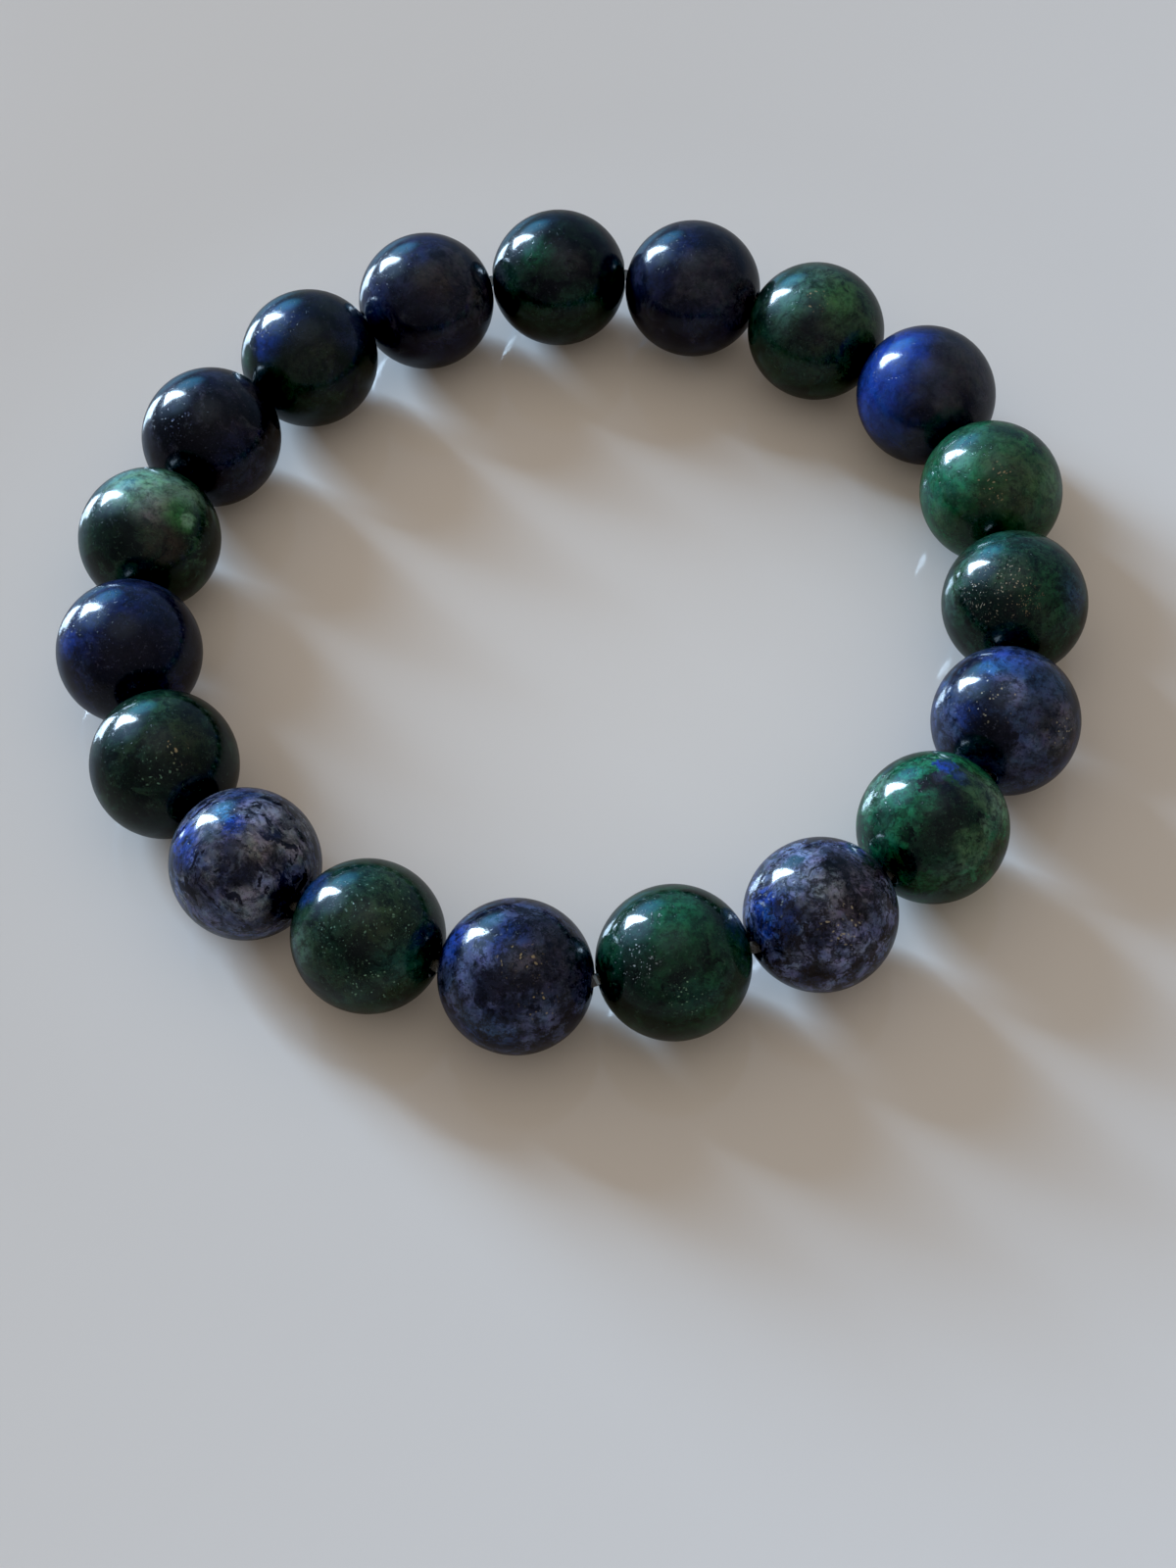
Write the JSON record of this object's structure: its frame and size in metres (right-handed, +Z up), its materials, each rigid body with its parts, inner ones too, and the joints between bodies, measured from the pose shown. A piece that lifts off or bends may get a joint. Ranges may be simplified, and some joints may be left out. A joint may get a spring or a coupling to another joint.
{
  "type": "beaded stretch bracelet",
  "caption": "Ring of round polished blue and green copper mineral beads, strung on a clear elastic cord that stretches over the hand.",
  "frame": {"origin": "under the middle of the ring, on the surface that the bracelet lies on", "axes": "+Z up, along the axis of the ring; +Y towards the far side of the ring as pictured; +X to the right"},
  "size_m": [0.0706, 0.0708, 0.0098],
  "materials": {
    "blue_stone": "polished, mottled navy, royal blue and slate",
    "green_stone": "polished, mottled dark green, teal and olive",
    "blue_green_stone": "polished, blue above and green below",
    "elastic_cord": "clear, smooth"
  },
  "bodies": {
    "root": {"bead_01_blue": "blue_stone", "bead_02_green": "green_stone", "bead_03_blue": "blue_stone", "bead_04_green": "green_stone", "bead_05_blue": "blue_stone", "bead_06_green": "green_stone", "bead_07_green": "green_stone", "bead_08_blue": "blue_stone", "bead_09_green": "green_stone", "bead_10_blue": "blue_stone", "bead_11_green": "green_stone", "bead_12_blue": "blue_stone", "bead_13_blue_green": "blue_green_stone", "bead_14_blue": "blue_stone", "bead_15_green": "green_stone", "bead_16_blue": "blue_stone", "bead_17_green": "green_stone", "bead_18_blue": "blue_stone", "bead_19_green": "green_stone", "elastic_cord": "elastic_cord"}
  },
  "joints": []
}
